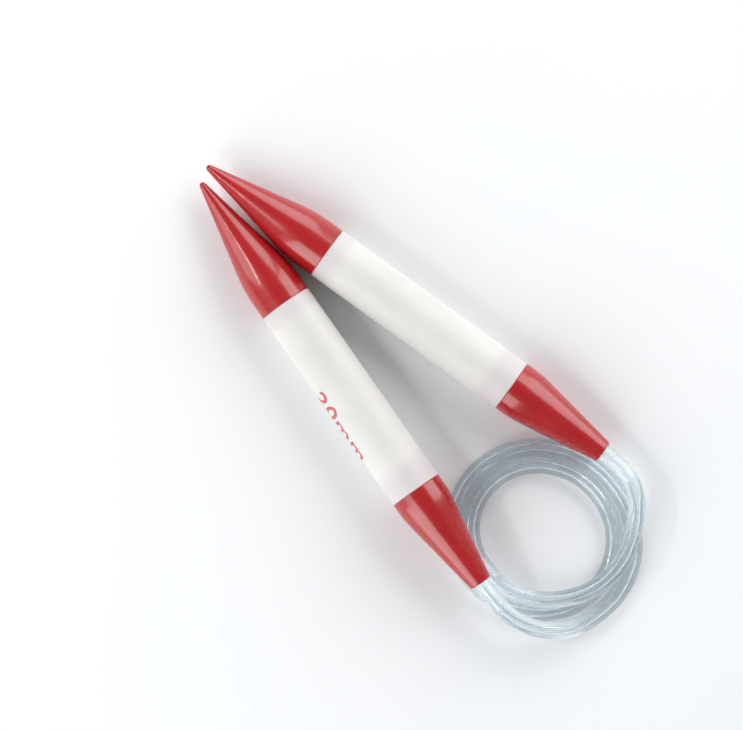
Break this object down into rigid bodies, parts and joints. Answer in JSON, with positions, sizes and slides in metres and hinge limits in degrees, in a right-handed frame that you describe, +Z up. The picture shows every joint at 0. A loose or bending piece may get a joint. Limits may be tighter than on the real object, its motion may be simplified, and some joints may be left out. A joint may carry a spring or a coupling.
{
  "type": "circular knitting needle",
  "caption": "Circular knitting needle: hollow straight needles with long tapered points, joined by a clear flexible tube cord that is stored in a loose flat coil",
  "frame": {"origin": "under the middle of the pair of needles, on the surface that they lie on", "axes": "+Z up, +Y towards the needle tips along the line midway between the needles, +X towards needle b"},
  "size_m": [0.0753, 0.2218, 0.0239],
  "materials": {
    "red_plastic": "smooth glossy moulded plastic",
    "white_plastic": "satin warm white plastic",
    "clear_tube": "clear flexible tubing",
    "plug_plastic": "natural moulded plastic"
  },
  "bodies": {
    "cord": {"cord_coil": "clear_tube", "cord_lead_a": "clear_tube", "cord_lead_b": "clear_tube"},
    "needle_a": {"tip_a": "red_plastic", "barrel_a": "white_plastic", "ferrule_a": "red_plastic", "cord_end_a": "clear_tube", "cord_plug_a": "plug_plastic"},
    "needle_b": {"tip_b": "red_plastic", "barrel_b": "white_plastic", "ferrule_b": "red_plastic", "cord_end_b": "clear_tube", "cord_plug_b": "plug_plastic"}
  },
  "joints": [
    {"name": "needle_a_swing", "type": "hinge", "parent": "cord", "child": "needle_a", "pos_m": [-0.0343, -0.1085, 0.012], "axis": [0, 0, 1], "range_deg": [0, 70], "stiffness_Nm_per_rad": 0.015, "deforming": ["cord_lead_a"]},
    {"name": "needle_b_swing", "type": "hinge", "parent": "cord", "child": "needle_b", "pos_m": [0.0332, -0.105, 0.01], "axis": [0, 0, 1], "range_deg": [-70, 0], "stiffness_Nm_per_rad": 0.015, "deforming": ["cord_lead_b"]}
  ]
}
